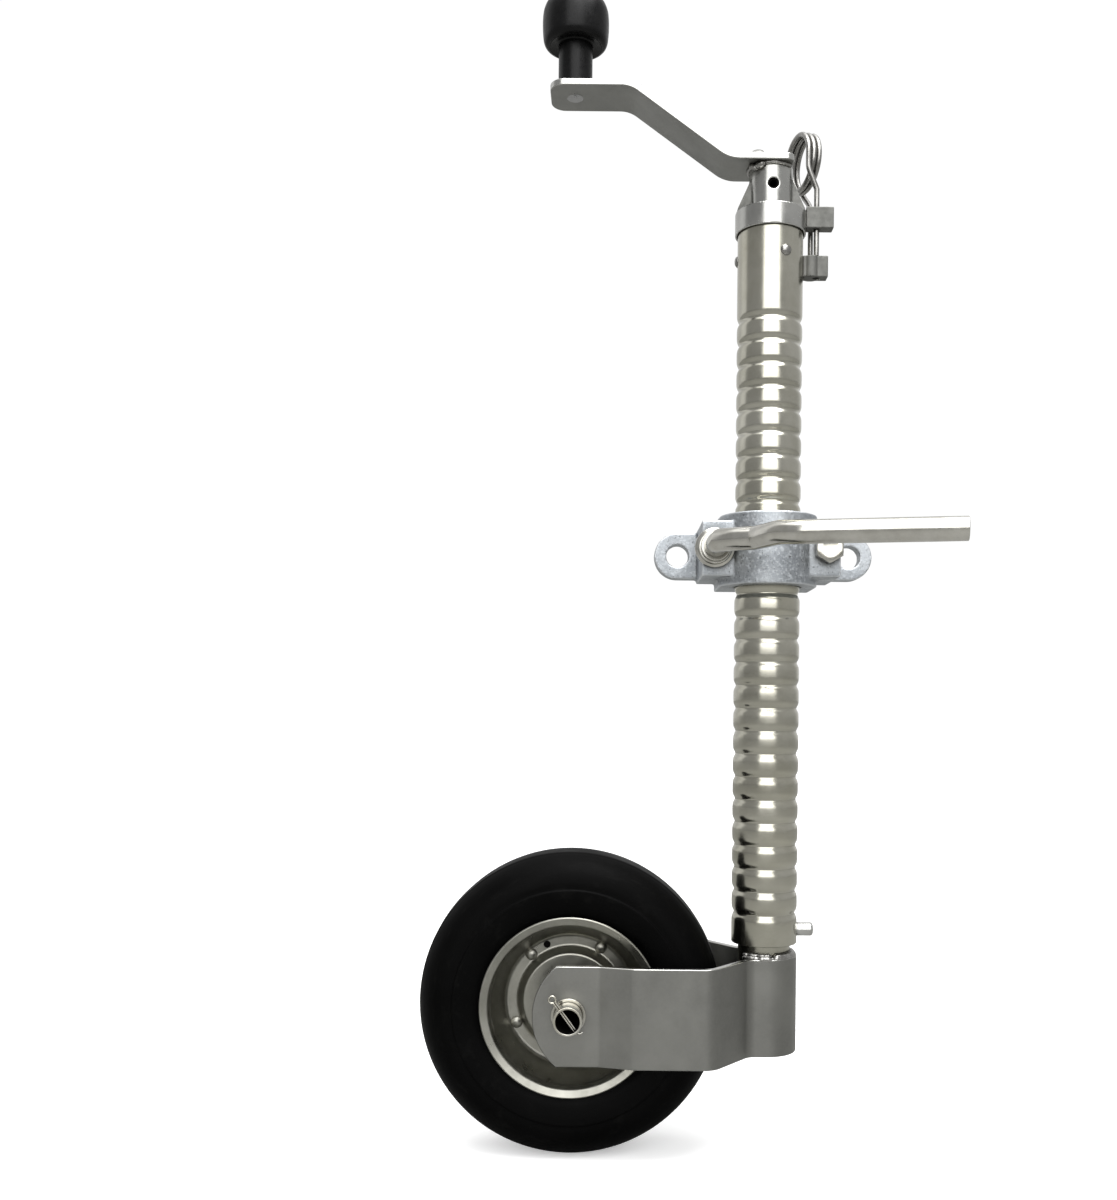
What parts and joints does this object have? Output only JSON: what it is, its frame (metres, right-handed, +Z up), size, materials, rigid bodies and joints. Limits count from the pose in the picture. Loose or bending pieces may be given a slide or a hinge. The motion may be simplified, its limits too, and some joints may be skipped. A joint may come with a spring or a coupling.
{
  "type": "trailer jack wheel",
  "caption": "Jockey wheel for a trailer: a ribbed jack tube in a split clamp, wound by a top crank, with a rubber wheel in a bent strap fork.",
  "frame": {"origin": "middle of the two clamp bolt holes, on the back face of the clamp's plate", "axes": "+Z up along the jack tube, +Y out of the plate's back face towards the trailer's drawbar, +X from the wheel towards the tube"},
  "size_m": [0.3643, 0.209, 0.849],
  "materials": {
    "zinc_casting": "matt zinc-plated casting, fine cast grain",
    "bright_zinc": "bright zinc plate, drawn round bar",
    "plated_tube": "zinc-plated steel tube, warm grey, satin to glossy",
    "plated_forging": "zinc-plated forging, satin",
    "plated_flat_bar": "zinc-plated flat bar, satin grey",
    "weld_metal": "plated weld bead, bright ripples",
    "bearing_steel": "ground bearing steel",
    "machined_steel": "turned steel, greased",
    "black_plastic": "black satin moulding",
    "tyre_rubber": "smooth black rubber, matt",
    "rim_zinc": "zinc-plated pressed sheet, slight yellow tint",
    "bush_nylon": "natural nylon"
  },
  "bodies": {
    "clamp": {"clamp_base": "zinc_casting", "clamp_cap": "zinc_casting", "clamp_hex_bolt": "bright_zinc"},
    "washer": {"handle_washer": "bright_zinc"},
    "handle": {"clamp_handle": "bright_zinc"},
    "tube": {"outer_tube": "plated_tube", "tube_lug": "plated_forging", "stop_stud": "bright_zinc", "bush_rivets": "bright_zinc", "top_bush": "machined_steel", "thrust_race_lower": "bearing_steel"},
    "crank": {"crank_collar": "plated_forging", "collar_lug": "plated_forging", "crank_arm": "plated_flat_bar", "crank_welds": "weld_metal", "roll_pin": "bright_zinc", "lead_screw": "machined_steel", "screw_retaining_ring": "machined_steel", "knob_pin": "bright_zinc", "thrust_race_upper": "bearing_steel", "thrust_balls": "bearing_steel"},
    "knob": {"knob": "black_plastic"},
    "clip": {"r_clip": "bright_zinc"},
    "nut": {"screw_nut": "machined_steel"},
    "leg": {"inner_tube": "plated_tube", "fork": "plated_flat_bar", "fork_weld": "weld_metal", "axle_tube": "bright_zinc", "axle_spacers": "bright_zinc", "axle_washers": "bright_zinc", "split_pins": "bright_zinc"},
    "wheel": {"tyre": "tyre_rubber", "rim_near": "rim_zinc", "rim_far": "rim_zinc", "rim_rivets": "bright_zinc", "hub_tube": "rim_zinc", "hub_bushes": "bush_nylon"}
  },
  "joints": [
    {"name": "tube_slide", "type": "slide", "parent": "clamp", "child": "tube", "axis": [0, 0, 1], "range_m": [-0.15, 0.12]},
    {"name": "clamp_screw_travel", "type": "slide", "parent": "clamp", "child": "washer", "axis": [0, -1, 0], "range_m": [0, 0.00205]},
    {"name": "clamp_handle_turn", "type": "hinge", "parent": "washer", "child": "handle", "pos_m": [-0.041, -0.062, 0], "axis": [0, -1, 0], "range_deg": [0, 360]},
    {"name": "crank_turn", "type": "hinge", "parent": "tube", "child": "crank", "pos_m": [0, -0.038, 0.28], "axis": [0, 0, 1], "range_deg": [-14400, 180]},
    {"name": "knob_spin", "type": "hinge", "parent": "crank", "child": "knob", "pos_m": [-0.145, -0.038, 0.36], "axis": [0, 0, 1], "continuous": true},
    {"name": "clip_slide", "type": "slide", "parent": "crank", "child": "clip", "axis": [0, 0, 1], "range_m": [-0.014, 0.05]},
    {"name": "nut_travel", "type": "slide", "parent": "tube", "child": "nut", "axis": [0, 0, 1], "range_m": [-0.2005, 0.003]},
    {"name": "leg_swivel", "type": "hinge", "parent": "nut", "child": "leg", "pos_m": [0, -0.038, -0.3], "axis": [0, 0, 1], "continuous": true},
    {"name": "wheel_spin", "type": "hinge", "parent": "leg", "child": "wheel", "pos_m": [-0.142, -0.038, -0.33], "axis": [0, 1, 0], "continuous": true}
  ],
  "couplings": [
    {"joint": "nut_travel", "follows": "crank_turn", "m_per_rad": 0.00079577},
    {"joint": "clamp_screw_travel", "follows": "clamp_handle_turn", "m_per_rad": 0.00031831}
  ]
}
